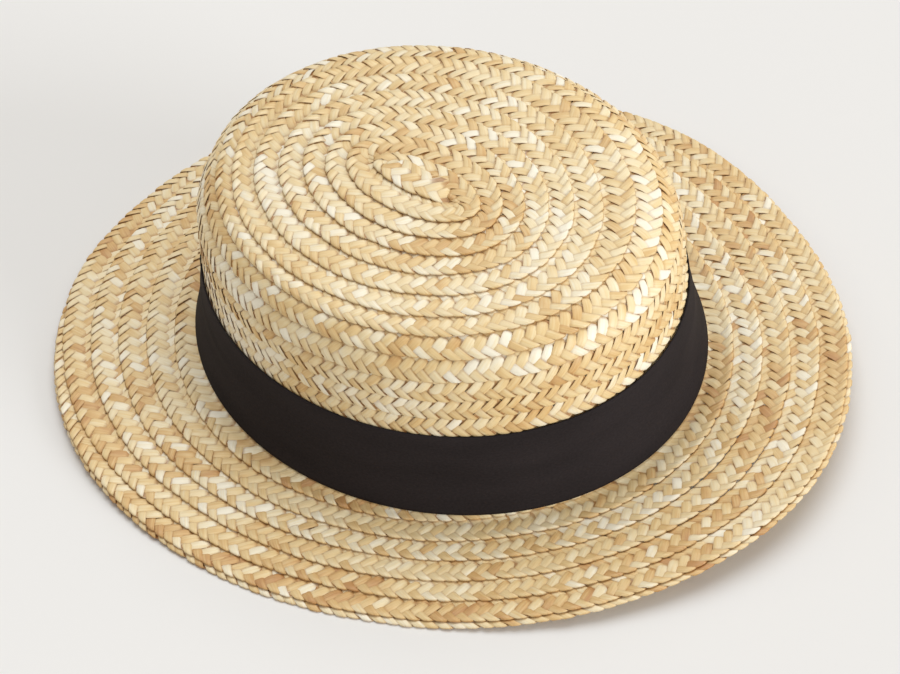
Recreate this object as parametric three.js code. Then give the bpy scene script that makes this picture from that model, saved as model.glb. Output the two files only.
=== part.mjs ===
// Straw boater hat: one long flat straw plait, wound and sewn in a spiral from the
// centre of the crown to the edge of the brim, with a plain ribbon round the crown.
// Millimetres, +Z up. The hat stands on z = 0, and its long axis, front to back, is X.
//
// Every horizontal line of the hat is the same kind of oval,
//     x = (r + STRETCH) cos a,   y = r sin a,
// so a point is named by its row, its angle round the hat and its height off the surface.
// Rows are counted from the centre outwards, and grow by one with each turn of the plait.

import * as THREE from 'three';
import { mergeVertices } from 'three/addons/utils/BufferGeometryUtils.js';

// The oval, and how finely it is faceted.
const STRETCH = 12.7; // half the length of the fold in the plait at the crown's centre
const STATIONS = 60; // steps round the hat
const TURN = 2 * Math.PI;

// The crown, seen in section from its centre to its foot.
const CROWN = {
  flatReach: 59.5, // r where the flat top ends
  tipHeight: 77.4, // height of the top's rim
  dome: 3, // rise of the top's centre above its rim
  edgeRadius: 18, // rounding between top and wall
  flare: 6.3, // how far the wall widens on its way down
  flarePower: 2.4, // how late it does so
  footHeight: 8.7, // height where the wall meets the brim
};
const CROWN_LEAN = { alongX: -0.0276, alongY: 0.0459 }; // the crown sits a little askew
const PLAIT_START = { x: -7, y: -4 }; // the plait's start is off the crown's centre
const START_FADES = { from: 48, to: 80 }; // distance from the centre where that dies out

// The brim. Each station gives the edge's reach from the centre line, its lift, and how
// far the plait under the edge stands out there.
const BRIM = {
  startReach: 85.3, // r where the brim shows outside the ribbon
  innerReach: 80.6, // r of its hidden inner edge, under the wall
  height: 8.2, // height of its upper face at the crown
};
const BRIM_EDGE = [
  { at: 0, reach: 140.8, lift: 10.5, shows: 1.5 },
  { at: 30, reach: 135.4, lift: 10.5, shows: 1.4 },
  { at: 60, reach: 131.0, lift: 8.3, shows: 1.2 },
  { at: 90, reach: 134.2, lift: 5.5, shows: 1.0 },
  { at: 120, reach: 135.2, lift: -1.5, shows: 1.0 },
  { at: 150, reach: 132.4, lift: -0.2, shows: 1.0 },
  { at: 180, reach: 131.8, lift: 0.5, shows: 0.8 },
  { at: 210, reach: 135.7, lift: 2.6, shows: 0.6 },
  { at: 240, reach: 138.2, lift: 2.2, shows: 0.7 },
  { at: 270, reach: 134.9, lift: 0.2, shows: 1.5 },
  { at: 300, reach: 132.5, lift: -0.2, shows: 2.1 },
  { at: 330, reach: 136.0, lift: 4.5, shows: 1.9 },
];

// The plait. Each row lies on the next one outwards, so it shows less than its width.
const UPPER_ROWS = [
  { rows: 2.7, shows: 5.55 },
  { rows: 3, shows: 7.5 },
  { rows: 1, shows: 8.1 },
  { rows: 2, shows: 10.0 },
  { rows: 5, shows: 8.1 },
];
const CROWN_ROWS = 17; // rows from the centre to the brim
const BRIM_ROWS = 5;

// The rows wind outwards, but keep level with the foot of the crown and with the brim's
// edge for most of a turn. Then a new row comes in at the foot, and the last one runs out
// at the edge. Each line gives how many rows more lie inside foot and edge at that turn.
const ROWS_INSIDE = [
  { turn: 0, foot: 0, edge: 0 },
  { turn: 0.69, foot: 0.69, edge: 0.67 },
  { turn: 0.79, foot: 0, edge: 0.77 },
  { turn: 0.83, foot: 0, edge: 0.81 },
  { turn: 1, foot: 0, edge: 0 },
];
const LIP = 0.4; // half the step from one row down to the next
const CROWN_WALL = 2.0;
const BRIM_WALL = 1.4;
const PLAIT_ENDS = 204; // angle where the outermost row has run out, in degrees

// The plait sewn under the edge, and the ribbon. The edge plait's top starts just inside
// the last row, and its flat underside a little further in.
const EDGE_PLAIT = {
  width: 12,
  thickness: 1.0,
  noseHeight: 0.6,
  topFrom: 0.2,
  flatFrom: 1,
  flatTo: 7,
  gap: 0.45,
};
const RIBBON = { height: 33, thickness: 1.0, lowerGap: 0.2 };
const GAP = 0.35; // between pieces that touch

const lerp = THREE.MathUtils.lerp;
const clamp = THREE.MathUtils.clamp;
const radians = THREE.MathUtils.degToRad;

// The crown's section as one curve, from the centre (0) to the foot.
function crownSection() {
  const points = [];
  const flatSteps = 12;
  for (let i = 0; i < flatSteps; i += 1) {
    const part = i / flatSteps;
    const rise = CROWN.dome * (1 - part * part);
    points.push(new THREE.Vector2(CROWN.flatReach * part, CROWN.tipHeight + rise));
  }
  const arcSteps = 12;
  for (let i = 0; i < arcSteps; i += 1) {
    const angle = (i / arcSteps) * (Math.PI / 2);
    const r = CROWN.flatReach + CROWN.edgeRadius * Math.sin(angle);
    const z = CROWN.tipHeight - CROWN.edgeRadius * (1 - Math.cos(angle));
    points.push(new THREE.Vector2(r, z));
  }
  const wallSteps = 16;
  const wallTop = CROWN.tipHeight - CROWN.edgeRadius;
  for (let i = 0; i <= wallSteps; i += 1) {
    const part = i / wallSteps;
    const r = CROWN.flatReach + CROWN.edgeRadius + CROWN.flare * part ** CROWN.flarePower;
    points.push(new THREE.Vector2(r, lerp(wallTop, CROWN.footHeight, part)));
  }
  const curve = new THREE.SplineCurve(points);
  curve.arcLengthDivisions = 1200;
  return curve;
}

const section = crownSection();
const sectionLength = section.getLength();
const topEdge = CROWN.flatReach + (Math.PI / 2) * CROWN.edgeRadius; // length to the wall's top

// A value of the brim's edge at any angle, on a smooth closed curve through the table.
function edgeValue(column, angle) {
  const count = BRIM_EDGE.length;
  const place = ((((angle / TURN) * count) % count) + count) % count;
  const first = Math.floor(place);
  const part = place - first;
  const value = (i) => BRIM_EDGE[(first + i + count) % count][column];
  const [a, b, c, d] = [value(-1), value(0), value(1), value(2)];
  const cubic = 3 * (b - c) + d - a;
  const square = 2 * a - 5 * b + 4 * c - d;
  return b + 0.5 * part * (c - a + part * (square + part * cubic));
}

const edgeReach = (angle) => edgeValue('reach', angle);
const edgeLift = (angle) => Math.max(0, edgeValue('lift', angle));
const rowsReach = (angle) => edgeReach(angle) - edgeValue('shows', angle);

// The angle round the hat after some part of a turn. The plait runs clockwise from above.
const angleAt = (turn) => radians(PLAIT_ENDS) - TURN * turn;

function readTable(table, from, to, value) {
  let i = 1;
  while (i < table.length - 1 && value > table[i][from]) i += 1;
  const [a, b] = [table[i - 1], table[i]];
  return a[to] + ((b[to] - a[to]) * (value - a[from])) / (b[from] - a[from]);
}

const footRow = (turn) => CROWN_ROWS + readTable(ROWS_INSIDE, 'turn', 'foot', turn);
const edgeRow = (turn) => {
  return CROWN_ROWS + BRIM_ROWS + readTable(ROWS_INSIDE, 'turn', 'edge', turn);
};

// The length along the crown's section at a row number, and the other way round.
function rowTable(turn) {
  const table = [{ row: 0, length: 0 }];
  for (const { rows, shows } of UPPER_ROWS) {
    const last = table[table.length - 1];
    table.push({ row: last.row + rows, length: last.length + rows * shows });
  }
  table.push({ row: footRow(turn), length: sectionLength });
  return table;
}

const lengthAtRow = (row, turn) => readTable(rowTable(turn), 'row', 'length', row);
const rowAtLength = (length, turn) => readTable(rowTable(turn), 'length', 'row', length);

// Points on the hat: an oval point, and points of the crown and of the brim, each at a
// height "off" its outer face.
function ovalPoint(r, angle, z) {
  return new THREE.Vector3((r + STRETCH) * Math.cos(angle), r * Math.sin(angle), z);
}

function leanOf(point) {
  return CROWN_LEAN.alongX * point.x + CROWN_LEAN.alongY * point.y;
}

function sectionPoint(length, angle, off) {
  const part = clamp(length / sectionLength, 0, 1);
  const place = section.getPointAt(part);
  const along = section.getTangentAt(part);
  const r = Math.max(0, place.x - along.y * off);
  const point = ovalPoint(r, angle, place.y + along.x * off);
  const fade = THREE.MathUtils.smoothstep(length, START_FADES.from, START_FADES.to);
  point.x += PLAIT_START.x * (1 - fade);
  point.y += PLAIT_START.y * (1 - fade);
  point.z += leanOf(point);
  return point;
}

function crownPoint(row, turn, off) {
  return sectionPoint(lengthAtRow(row, turn), angleAt(turn), off);
}

function rowsPerReach(turn) {
  return (edgeRow(turn) - footRow(turn)) / (rowsReach(angleAt(turn)) - BRIM.startReach);
}

function brimPoint(row, turn, off) {
  const angle = angleAt(turn);
  const share = (row - footRow(turn)) / (edgeRow(turn) - footRow(turn));
  const r = lerp(BRIM.startReach, rowsReach(angle), share);
  const point = ovalPoint(r, angle, BRIM.height);
  const rimHeight = edgeLift(angle) + EDGE_PLAIT.thickness + EDGE_PLAIT.gap + BRIM_WALL;
  const innerHeight = BRIM.height + leanOf(ovalPoint(Math.min(r, BRIM.startReach), angle, 0));
  point.z = lerp(innerHeight, rimHeight, Math.max(0, share)) + off;
  return point;
}

// A closed mesh from rings of points. ring(turn) returns the same number of points for
// every part of the turn, and its points at 1 lie on those at 0, though they may have
// moved on by one row. Points that fall together are welded and empty faces dropped.
function sweep(ring, closed) {
  const rings = [];
  for (let i = 0; i <= STATIONS; i += 1) rings.push(ring(i / STATIONS));
  const size = rings[0].length;
  const positions = [];
  const addFace = (a, b, c) => {
    for (const point of [a, b, c]) positions.push(point.x, point.y, point.z);
  };
  for (let i = 0; i < STATIONS; i += 1) {
    for (let j = 0; j < (closed ? size : size - 1); j += 1) {
      const next = (j + 1) % size;
      const [a, b] = [rings[i][j], rings[i][next]];
      const [c, d] = [rings[i + 1][next], rings[i + 1][j]];
      addFace(a, c, b);
      addFace(a, d, c);
    }
  }
  const geometry = new THREE.BufferGeometry();
  geometry.setAttribute('position', new THREE.Float32BufferAttribute(positions, 3));
  return dropEmptyFaces(mergeVertices(geometry, 1e-3));
}

function dropEmptyFaces(geometry) {
  const index = geometry.getIndex().array;
  const kept = [];
  for (let i = 0; i < index.length; i += 3) {
    const [a, b, c] = [index[i], index[i + 1], index[i + 2]];
    if (a !== b && b !== c && c !== a) kept.push(a, b, c);
  }
  geometry.setIndex(kept);
  geometry.computeVertexNormals();
  return geometry;
}

// A stretch of sewn rows between two row numbers, which may change with the turn. Its
// outer face steps down by a lip at the end of each row, and its inner face is smooth.
function sewnRows({ from, to, point, wall, openCentre }) {
  const first = Math.floor(from(0));
  const reached = ROWS_INSIDE.map(({ turn }) => to(turn) - turn);
  const count = Math.ceil(Math.max(...reached)) - first + 1;
  const ring = (turn) => {
    const [start, end] = [from(turn), to(turn)];
    const ends = [];
    for (let k = 0; k < count; k += 1) ends.push(clamp(first + k + turn, start, end));
    const lipAt = (row) => LIP * Math.min(1, row); // the lip grows over the first turn
    const slopeAt = (row) => {
      const part = (row - turn) - Math.floor(row - turn + 1e-9);
      return lipAt(row) * (2 * part - 1);
    };
    const outer = [point(start, turn, slopeAt(start))];
    for (const row of ends) {
      const inside = row > start && row < end;
      const sideOff = slopeAt(row <= start ? start : end - 1e-6);
      outer.push(point(row, turn, inside ? lipAt(row) : sideOff));
      outer.push(point(row, turn, inside ? -lipAt(row) : sideOff));
    }
    outer.push(point(end, turn, slopeAt(end - 1e-6)));
    const inner = [start, ...ends, end].map((row) => point(row, turn, -wall));
    return [...outer, ...inner.reverse()];
  };
  return sweep(ring, !openCentre);
}

function crownTip() {
  return sewnRows({
    from: () => 0,
    to: (turn) => rowAtLength(topEdge - GAP / 2, turn),
    point: crownPoint,
    wall: CROWN_WALL,
    openCentre: true,
  });
}

// The wall stops short of the brim by the gap, measured at its lower inner corner.
function crownSide() {
  const footSetback = 1.0;
  return sewnRows({
    from: (turn) => rowAtLength(topEdge + GAP / 2, turn),
    to: (turn) => rowAtLength(sectionLength - footSetback, turn),
    point: crownPoint,
    wall: CROWN_WALL,
  });
}

function brim() {
  const hidden = BRIM.startReach - BRIM.innerReach;
  return sewnRows({
    from: (turn) => footRow(turn) - hidden * rowsPerReach(turn),
    to: edgeRow,
    point: brimPoint,
    wall: BRIM_WALL,
  });
}

// A second plait under the brim's edge. Its lower face is level near the edge, so the hat
// rests on a flat face where the edge comes down to the floor.
function edgePlait() {
  const ring = (turn) => {
    const angle = angleAt(turn);
    const reach = edgeReach(angle);
    const lift = edgeLift(angle);
    const rows = (inwards) => {
      return edgeRow(turn) - (inwards - reach + rowsReach(angle)) * rowsPerReach(turn);
    };
    const { width, thickness, noseHeight, topFrom, flatFrom, flatTo, gap } = EDGE_PLAIT;
    const clear = reach - rowsReach(angle) + topFrom;
    const under = (inwards, depth) => brimPoint(rows(inwards), turn, -BRIM_WALL - gap - depth);
    const nose = ovalPoint(reach, angle, lift + noseHeight);
    return [
      under(width, 0),
      under(clear, 0),
      nose,
      ovalPoint(reach - flatFrom, angle, lift),
      ovalPoint(reach - flatTo, angle, lift),
      under(width, thickness),
    ];
  };
  return sweep(ring, true);
}

// The ribbon lies on the rows of the wall, clear of their lips.
function ribbon() {
  const lower = sectionLength - RIBBON.lowerGap;
  const upper = lower - RIBBON.height;
  const inside = LIP + GAP;
  const outside = inside + RIBBON.thickness;
  const steps = 3;
  const ring = (turn) => {
    const points = [];
    for (let i = 0; i <= steps; i += 1) {
      points.push(sectionPoint(lerp(upper, lower, i / steps), angleAt(turn), outside));
    }
    for (let i = steps; i >= 0; i -= 1) {
      points.push(sectionPoint(lerp(upper, lower, i / steps), angleAt(turn), inside));
    }
    return points;
  };
  return sweep(ring, true);
}

const strawFinish = { color: '#d8bd88', roughness: 0.55, metalness: 0 };
const paleStraw = { color: '#dec694', roughness: 0.52, metalness: 0 };
const brimStraw = { color: '#cfb27c', roughness: 0.58, metalness: 0 };
const edgeStraw = { color: '#c4a268', roughness: 0.6, metalness: 0 };
const ribbonFinish = { color: '#2b2625', roughness: 0.95, metalness: 0 };

function piece(name, geometry, finish) {
  const mesh = new THREE.Mesh(geometry, new THREE.MeshStandardMaterial(finish));
  mesh.name = name;
  return mesh;
}

const hat = new THREE.Group();
hat.add(piece('crown_tip', crownTip(), paleStraw));
hat.add(piece('crown_side', crownSide(), strawFinish));
hat.add(piece('brim', brim(), brimStraw));
hat.add(piece('brim_edge_plait', edgePlait(), edgeStraw));
hat.add(piece('hatband_ribbon', ribbon(), ribbonFinish));

// The origin is under the middle of the hat's outline.
const middle = new THREE.Box3().setFromObject(hat).getCenter(new THREE.Vector3());
hat.position.set(-middle.x, -middle.y, 0);

export default hat;
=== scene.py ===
"""Dresses the straw boater hat: every straw of its sewn plait, its ribbon and the stage.

Shapes are worked out in millimetres on the same oval and section as the solids, and
become metres when a mesh is made. Rows are counted from the crown's centre outwards.
"""

import math

import bpy
import numpy as np
from mathutils import Matrix, Vector


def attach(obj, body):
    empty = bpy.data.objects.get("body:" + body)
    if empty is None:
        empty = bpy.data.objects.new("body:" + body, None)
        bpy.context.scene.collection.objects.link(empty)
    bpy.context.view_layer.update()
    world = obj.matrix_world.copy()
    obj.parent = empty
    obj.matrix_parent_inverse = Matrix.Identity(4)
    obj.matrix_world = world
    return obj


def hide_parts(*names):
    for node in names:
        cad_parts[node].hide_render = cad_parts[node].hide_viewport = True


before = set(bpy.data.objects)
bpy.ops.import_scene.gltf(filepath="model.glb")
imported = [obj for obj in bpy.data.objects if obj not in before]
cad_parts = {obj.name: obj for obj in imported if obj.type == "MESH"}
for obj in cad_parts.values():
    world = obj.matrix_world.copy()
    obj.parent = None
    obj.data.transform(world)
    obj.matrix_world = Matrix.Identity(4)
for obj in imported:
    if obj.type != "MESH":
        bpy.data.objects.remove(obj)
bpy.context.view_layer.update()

bl_info = {
    "name": "Straw Boater Hat",
    "version": (1, 0, 0),
    "blender": (4, 5, 0),
    "location": "3D View > Sidebar > Boater",
    "description": "Weaves a straw boater hat from one sewn plait, with a plain ribbon",
    "category": "Object",
}

MM = 0.001
TURN = 2 * math.pi

# The oval that every level line of the hat follows, and the crown's section.
STRETCH = 12.7
FLAT_REACH = 59.5
TIP_HEIGHT = 77.4
DOME = 3.0
EDGE_RADIUS = 18.0
FLARE = 6.3
FLARE_POWER = 2.4
FOOT_HEIGHT = 8.7
CROWN_LEAN = (-0.0276, 0.0459)
PLAIT_START = (-3.0, -5.0)
START_FADES = (48.0, 80.0)
HAT_MIDDLE = (-4.5, 0.35)  # where the oval's middle lies, so that the outline is centred
PAST_CENTRE = 30
PAST_FOOT = 12.0
FOOT_TURN = 3  # the wall turns into the brim from so far above its foot to so far past it

# How finely the section, the rows and the ways of the plaits are worked out.
FLAT_STEPS = 180
ARC_STEPS = 60
WALL_STEPS = 120
TABLE_STEPS = 400
TABLE_ROUNDING = 10
WAY_STEPS = 30000
RING_WAY_STEPS = 4000
ACROSS_STEPS = 140

# The brim: reach and lift of its edge, and how far the plait under it shows.
START_REACH = 85.3
BRIM_HEIGHT = 8.2
RIM_ABOVE_LIFT = 1.55  # the last row's middle over the underside of the plait below it
BRIM_EDGE = {
    "at": (0, 30, 60, 90, 120, 150, 180, 210, 240, 270, 300, 330),
    "reach": (140.8, 135.4, 131.0, 134.2, 135.2, 132.4, 131.8, 135.7, 138.2, 134.9, 132.5, 136.0),
    "lift": (10.5, 10.5, 8.3, 5.5, -1.5, -0.2, 0.5, 2.6, 2.2, 0.2, -0.2, 4.5),
    "shows": (1.5, 1.4, 1.2, 1.0, 1.0, 1.0, 0.8, 0.6, 0.7, 1.5, 2.1, 1.9),
}

# The crown's upper rows, from the centre out: how many, and how many mm of each one show.
UPPER_ROWS = (
    (1, 0.0),
    (1, 6.4),
    (0.55, 12.0),
    (0.45, 8.0),
    (1, 7.6),
    (1, 8.1),
    (1, 8.7),
    (1, 9.0),
    (1, 9.7),
    (0.7, 8.4),
    (5, 8.1),
)
CROWN_ROWS = 17
BRIM_ROWS = 5

# Besides these whole rows, a part of a row lies inside the crown's foot, and another inside
# the brim's edge. Both change over a turn, which begins at PLAIT_ENDS.
ROWS_INSIDE = {
    "turn": (0, 0.1, 0.3, 0.45, 0.69, 0.78, 0.83, 0.875, 0.95, 1),
    "foot": (0.4, 0.45, 0.58, 0.65, 0.69, 0.28, 0, 0, 0.25, 0.4),
    "edge": (0, 0.1, 0.29, 0.44, 0.67, 0.78, 0.81, 0.6, 0.24, 0),
}
PLAIT_ENDS = 204  # degrees round the hat
PLAIT_BEGINS = 1.62  # in turns, as is LAST_TURN
LAST_TURN = CROWN_ROWS + BRIM_ROWS + 0.97
SPARE_TURN = 0.2
SPARE_UNITS = 10
LEAST_SHOWS = 0.4
LEAST_SHOWS_ABOVE = 4
LEAST_REACH = 6

# The plait begins as a straight strip across the centre, which lies on top with its whole
# width showing. Between these turns it becomes a row. Its start is tucked under.
STRIP_BECOMES_ROW = (1.93, 2.08)
STRIP_SHOWS = 9
STRIP_RAISED = 0.2
STRIP_TILT = 0.06
STRIP_STRAIGHT = 20  # its edge is taken as straight up to this length from the centre
TUCK_TURNS = 0.12
TUCK_DEPTH = 2.2
CENTRE_GUARD = 2.0  # a later row never runs past the centre, but bunches up this close to it

# How far in from a row's edge its pitch is measured, or at most in which part of the way to
# the centre, and how soon the curled edge flattens.
PITCH_LINE = 4.5
PITCH_LINE_PART = 0.6
CURL_WIDTH = 1.2

# Painted shade: how much darker a row is painted where the row above hides it, and from where
# to where, in mm past that row's edge, this sets in.
COVERED_SHADE = 0.5
COVERED_OVER = (-0.8, 0.2)
RING_COVERED_OVER = (-0.4, 0.8)

# The plait under the edge lies so many steps below the last row, and more where the last row
# sinks under the one above it and ends. These parts of a turn say where.
RING_STEPS = 1.1
RING_END_STEPS = 0.85
RING_SINKS = (0.83, 0.97)
RING_RISES = (0.975, 0.998)
RING_WIDTH = 9
RING_PITCH_LINE = 4

# The ribbon's middle over the crown's foot, and how far the pressed plait stands under it.
RIBBON_MIDDLE = 16.0
PRESSED_OFF = 0.45

# The pieces that the plait is made in, by the turn where each one ends.
TIP_TURNS = (4.5, 7.2, 9.4, 11.44)
WALL_TURNS = (13.4, 15.3, 17.2)
BRIM_TURNS = (18.7, 20.2, 21.6, LAST_TURN)

# A straw's way across the plait, in cells: two under two, turning back at each edge. A ring
# of six points stands at each station.
CELLS = 5
STATIONS = (0.1, 0.6, 1.05, 1.5, 1.95, 2.5, 3.05, 3.5, 3.95, 4.4, 4.9)
SWAPS = (1.4, 3.35)
SWAP_HALF = 0.4
RING_ACROSS = (-0.5, -0.28, 0.28, 0.5, 0.28, -0.28)
RING_FACE = (0, 1, 1, 0, -1, -1)
RING_ROUND = (0, 0.22, 0.78, 1.0, 1.22, 1.78, 2.0)
RING_SQUARE = {"place": (0.1, 1.1, 3.9, 4.9), "square": (1, 0, 0, 1)}
FOLD_BULGE = 0.2
FOLD_FADES = 0.7
FLOOR_CLEAR = 0.05

# Where a straw lies over, it arches up at the middle of its float, and a little at the edge.
FLOAT_ARCH = 0.45
FLOAT_HALF = 0.6
EDGE_ARCH = 0.5
EDGE_HALF = 0.8

# A straw runs flatter near both edges, where it folds, and steeper in the middle. Slant is
# the run along the plait for each step in, and breadth is a straw's part of the pitch.
STRAW_WAY = {
    "place": (0, 0.5, 0.95, 1.4, 1.7, 2.4, 3.1, 3.4, 3.8, 5),
    "slant": (1.25, 1.25, 1.25, 1.0, 0.88, 0.84, 0.88, 0.9, 1.05, 1.05),
    "breadth": (0.84, 0.9, 1.08, 1.05, 1.0, 1.02, 0.98, 0.98, 1.04, 0.95),
}

# How deep in the weave a place lies, from 0 on top to 1 below, which sets its painted shade.
SIDE_SHADE = 0.4
FOLD_SHADE = 0.55
INNER_EDGE_SHADE = 0.2
DIVING = (-0.2, 0.9)
BACK_FADES = 1.5

# How tones are drawn, from 0, bleached, to 1, brown: a mean and a spread for each straw, a
# drift along the plait and a little for each pass across it.
UNITS_PER_STRAW = 5
BLEACHED_SHARE = 0.2
BLEACHED_TONE = (0.17, 0.09)
PLAIN_TONE = (0.48, 0.12)
TONE_DRIFT = 0.055
DRIFT_UNITS = 9
PASS_TONE_SPREAD = 0.06

# How straws vary in width, place and fold: a spread, and the least and most that is allowed.
WIDTH_VARIES = (0.06, -0.15, 0.1)
SHIFT_VARIES = (0.06, -0.12, 0.12)
BULGE_VARIES = (0.05, -0.1, 0.1)
TILT_SPREAD = 0.15
LIFT_SPREAD = 0.05

# How broad the straws are for their pitch, and how much browner they are, by part. The browner
# tones are partly the straws' own tone and partly painted shade: the tip paler, the brim and edge plait
# browner.
BREADTH = {"tip": 1.07, "wall": 1.0, "brim": 1.06, "edge": 1.09}
BROWNING_AND_SHADE = {"tip": -0.03, "wall": 0.02, "brim": 0.04, "edge": 0.14}

# Each fold of straw has its own cell of the map. Laid flat it is about so long for its width.
BAKE_MARGIN = 0.03
FOLD_SHAPE = 5

# The ribbon: where it starts, its mesh, and how it lies on the plait.
RIBBON_STARTS = 100  # degrees round the hat, at the back
RIBBON_STEPS = 900
RIBBON_CROSS_STEPS = 28
RIBBON_RUN = 560  # its length on its maps, about that of the real one
RIBBON_OFF = 0.62
RIBBON_ABOVE_FOOT = 0.15
LAP_REACH = 90.0  # about how far the lap is from the hat's middle
LAP_GAP = 0.1
LAP_RISES = (1.6, 0.9)  # in laps before its end, where the ribbon begins to rise and where it is up
BAKE_LINES = 6  # its map is folded into so many lines
BAKE_ENDS = 0.02
BAKE_SIDES = 0.04


def linear(code):
    """The linear RGBA colour of an sRGB hex code."""
    parts = [int(code[i : i + 2], 16) / 255 for i in (1, 3, 5)]
    light = [p / 12.92 if p <= 0.04045 else ((p + 0.055) / 1.055) ** 2.4 for p in parts]
    return (*light, 1.0)


def colour_property(name, description, code):
    """A colour that can be changed in the sidebar."""
    return bpy.props.FloatVectorProperty(
        name=name, description=description, subtype="COLOR", size=4, min=0, max=1, default=linear(code)
    )


def length_property(name, description, millimetres):
    """A length that can be changed in the sidebar."""
    return bpy.props.FloatProperty(
        name=name, description=description, default=millimetres * MM, min=0, precision=5, unit="LENGTH"
    )


class BoaterPlait(bpy.types.PropertyGroup):
    """Sizes of the plait and of its straws."""

    width: length_property("Plait width", "From edge to edge of the flat plait", 11.0)
    pitch: length_property("Pitch", "From one straw to the next along the plait's edge", 4.4)
    straw: length_property("Straw thickness", "Thickness of one flattened straw", 0.42)
    rise: length_property("Weave rise", "How far a straw lies over the plait's middle", 0.22)
    slope: length_property("Straw slope", "How far one edge of a straw stands over the other", 0.3)
    step: length_property("Layer step", "From one row down to the row that it is sewn on", 0.82)
    curl: length_property("Edge curl", "How far a row's edge stands up", 0.15)
    wobble: length_property("Wobble", "How far a row strays to either side", 0.25)
    seed: bpy.props.IntProperty(name="Seed", description="Start of the random draws", default=7, min=0)


class BoaterColours(bpy.types.PropertyGroup):
    """Colours of straw and ribbon."""

    pale: colour_property("Pale straw", "The lightest straws", "#faf2dc")
    cream: colour_property("Cream straw", "Light straws", "#f4e3bb")
    golden: colour_property("Golden straw", "Most straws", "#ebcf98")
    tan: colour_property("Tan straw", "Darker straws", "#dcb579")
    brown: colour_property("Brown straw", "The few darkest straws", "#c79660")
    # Painted shade: the brown that straw deep in the weave and in the gaps is mixed toward.
    shade: colour_property("Straw in the gaps", "Straw that lies deep in the weave", "#a86f33")
    ribbon: colour_property("Ribbon", "The cotton ribbon", "#2a2526")


class BoaterRibbon(bpy.types.PropertyGroup):
    """Sizes of the ribbon."""

    height: length_property("Height", "From the ribbon's lower to its upper edge", 33)
    thickness: length_property("Thickness", "Thickness of the ribbon", 0.5)
    lap: length_property("Lap", "How far its end lies over its beginning", 12)
    crease: length_property("Crease", "Depth of its soft creases", 0.35)


class BoaterStage(bpy.types.PropertyGroup):
    """Floor and light."""

    floor: colour_property("Floor", "The pale floor", "#efeeec")
    key: bpy.props.FloatProperty(name="Key light", description="Strength of the main light", default=1.5)
    side: bpy.props.FloatProperty(name="Side light", description="Strength of the low light", default=2.0)
    fill: bpy.props.FloatProperty(
        name="Fill light", description="Strength of the light all round", default=0.46
    )


# The hat's surface

def smooth(low, high, value):
    """0 below low, 1 above high and a smooth rise between them."""
    part = np.clip((value - low) / (high - low), 0, 1)
    return part * part * (3 - 2 * part)


def crown_section():
    """Lengths, radii, heights and normals along the crown's section, past both its ends."""
    flat = np.linspace(-PAST_CENTRE, FLAT_REACH, FLAT_STEPS, endpoint=False)
    arc = np.linspace(0, math.pi / 2, ARC_STEPS, endpoint=False)
    wall = np.linspace(0, 1, WALL_STEPS)
    wall_top = TIP_HEIGHT - EDGE_RADIUS
    wall_reach = FLAT_REACH + EDGE_RADIUS
    reach = np.concatenate(
        [flat, FLAT_REACH + EDGE_RADIUS * np.sin(arc), wall_reach + FLARE * wall**FLARE_POWER]
    )
    height = np.concatenate(
        [
            TIP_HEIGHT + DOME * (1 - (flat / FLAT_REACH) ** 2),
            wall_top + EDGE_RADIUS * np.cos(arc),
            wall_top + (FOOT_HEIGHT - wall_top) * wall,
        ]
    )
    length = np.concatenate([[0], np.cumsum(np.hypot(np.diff(reach), np.diff(height)))])
    length -= np.interp(0, reach[:FLAT_STEPS], length[:FLAT_STEPS])
    foot = length[-1]
    slope = (reach[-1] - reach[-2], height[-1] - height[-2])
    unit = math.hypot(*slope)
    length = np.append(length, foot + PAST_FOOT)
    reach = np.append(reach, reach[-1] + PAST_FOOT * slope[0] / unit)
    height = np.append(height, height[-1] + PAST_FOOT * slope[1] / unit)
    out = -np.gradient(height, length)
    up = np.gradient(reach, length)
    return {"length": length, "reach": reach, "height": height, "out": out, "up": up, "foot": foot}


SECTION = crown_section()
FOOT_LENGTH = SECTION["foot"]


def section_at(length):
    """Reach, height and both parts of the normal, at lengths along the crown's section."""
    return (np.interp(length, SECTION["length"], SECTION[k]) for k in ("reach", "height", "out", "up"))


def edge_value(column, angle):
    """A value of the brim's edge at any angle, on a smooth closed curve through its table."""
    table = np.array(BRIM_EDGE[column])
    place = np.mod(angle / TURN * len(table), len(table))
    first = np.floor(place).astype(int)
    part = place - first
    a, b, c, d = (table[np.mod(first + i, len(table))] for i in (-1, 0, 1, 2))
    return b + 0.5 * part * (c - a + part * (2 * a - 5 * b + 4 * c - d + part * (3 * (b - c) + d - a)))


def edge_lift(angle):
    """How high the edge's underside is over the floor."""
    return np.maximum(0, edge_value("lift", angle))


def rows_reach(angle):
    """Reach of the last row, inside the plait that shows under it."""
    return edge_value("reach", angle) - edge_value("shows", angle)


def lean(x, y):
    """How far the crown's lean raises a point."""
    return CROWN_LEAN[0] * x + CROWN_LEAN[1] * y


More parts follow.
